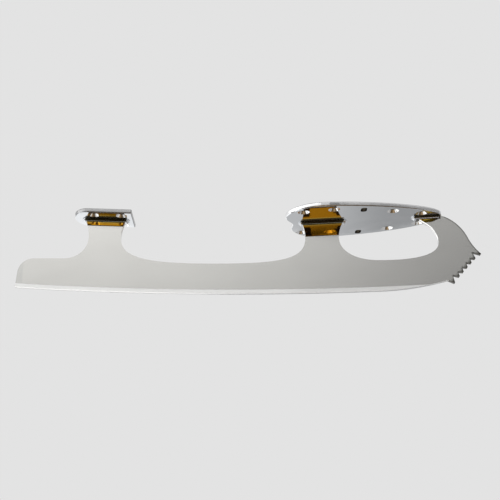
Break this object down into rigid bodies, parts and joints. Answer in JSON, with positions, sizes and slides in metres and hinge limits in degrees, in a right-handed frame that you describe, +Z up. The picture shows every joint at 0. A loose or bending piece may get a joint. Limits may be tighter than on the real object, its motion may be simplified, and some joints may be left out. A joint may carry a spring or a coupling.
{
  "type": "figure skate blade",
  "caption": "Figure skate blade: a rockered, hollow-ground steel runner with a straight-cut toe pick, brazed by its posts to a heart-shaped sole plate and a round-ended heel plate.",
  "frame": {"origin": "middle of the sole plate's top face, on the runner's middle plane", "axes": "+X along the blade towards the toe pick, +Y across it, +Z up from the ice"},
  "size_m": [0.3184, 0.0668, 0.0589],
  "materials": {
    "runner_steel": "satin-ground sides, bright ground edge, polished gold-toned tops of the posts",
    "plate_chrome": "bright polished",
    "braze_metal": "dark, smooth fillet"
  },
  "bodies": {
    "root": {"runner": "runner_steel", "sole_plate": "plate_chrome", "heel_plate": "plate_chrome", "front_braze": "braze_metal", "toe_braze": "braze_metal", "heel_braze": "braze_metal"}
  },
  "joints": []
}
